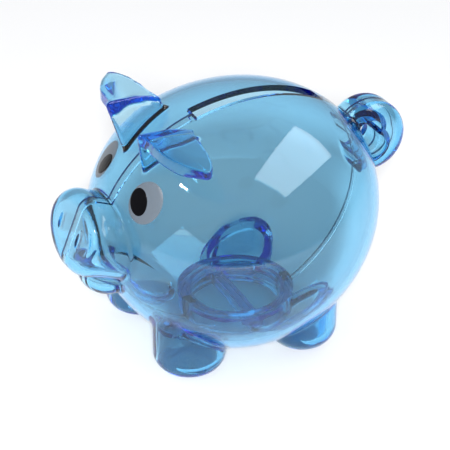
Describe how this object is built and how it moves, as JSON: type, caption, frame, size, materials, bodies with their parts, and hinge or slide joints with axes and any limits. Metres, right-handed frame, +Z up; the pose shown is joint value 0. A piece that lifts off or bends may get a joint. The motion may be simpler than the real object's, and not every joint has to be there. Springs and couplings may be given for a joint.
{
  "type": "piggy bank",
  "caption": "Translucent plastic pig-shaped coin bank in two half shells, with a coin slot along its back and a pull-out belly stopper.",
  "frame": {"origin": "on the floor, under the middle of the box around the whole pig", "axes": "+Z up, -Y the way the pig faces, +X to the pig's left"},
  "size_m": [0.09, 0.107, 0.0725],
  "materials": {
    "blue_plastic": "clear blue polystyrene, polished",
    "pale_ink": "pale grey pad-printed ink, slightly see-through",
    "black_ink": "black pad-printed ink"
  },
  "bodies": {
    "bank": {"left_shell": "blue_plastic", "right_shell": "blue_plastic", "left_eye_white": "pale_ink", "right_eye_white": "pale_ink", "left_eye_pupil": "black_ink", "right_eye_pupil": "black_ink"},
    "stopper": {"stopper": "blue_plastic"}
  },
  "joints": [
    {"name": "stopper_pull", "type": "slide", "parent": "bank", "child": "stopper", "axis": [0, 0, -1], "range_m": [0, 0.03]}
  ]
}
